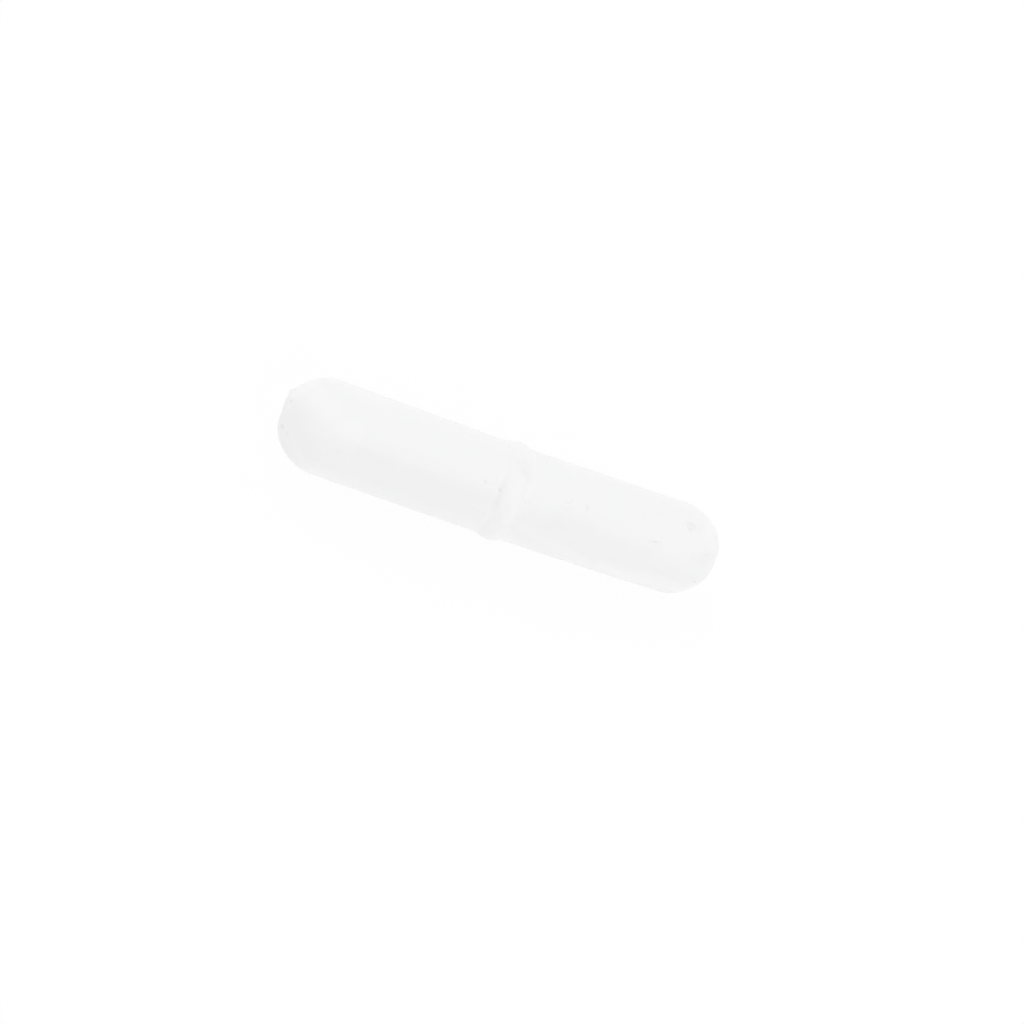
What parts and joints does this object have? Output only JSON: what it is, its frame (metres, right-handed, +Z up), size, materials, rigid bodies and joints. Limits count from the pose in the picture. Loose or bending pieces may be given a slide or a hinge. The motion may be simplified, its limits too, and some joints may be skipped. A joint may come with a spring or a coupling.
{
  "type": "magnetic stir bar",
  "caption": "Magnetic stir bar: a rod magnet sealed in a smooth round PTFE jacket with domed ends and a low integral pivot ring round its middle.",
  "frame": {"origin": "centre of the pivot ring, on the bar's axis", "axes": "+X along the bar's axis, +Z up as the bar lies on its side, +Y completes the right hand"},
  "size_m": [0.0382, 0.0084, 0.0084],
  "materials": {
    "ptfe": "satin",
    "cast_magnet": "matte"
  },
  "bodies": {
    "root": {"jacket": "ptfe", "magnet": "cast_magnet"}
  },
  "joints": []
}
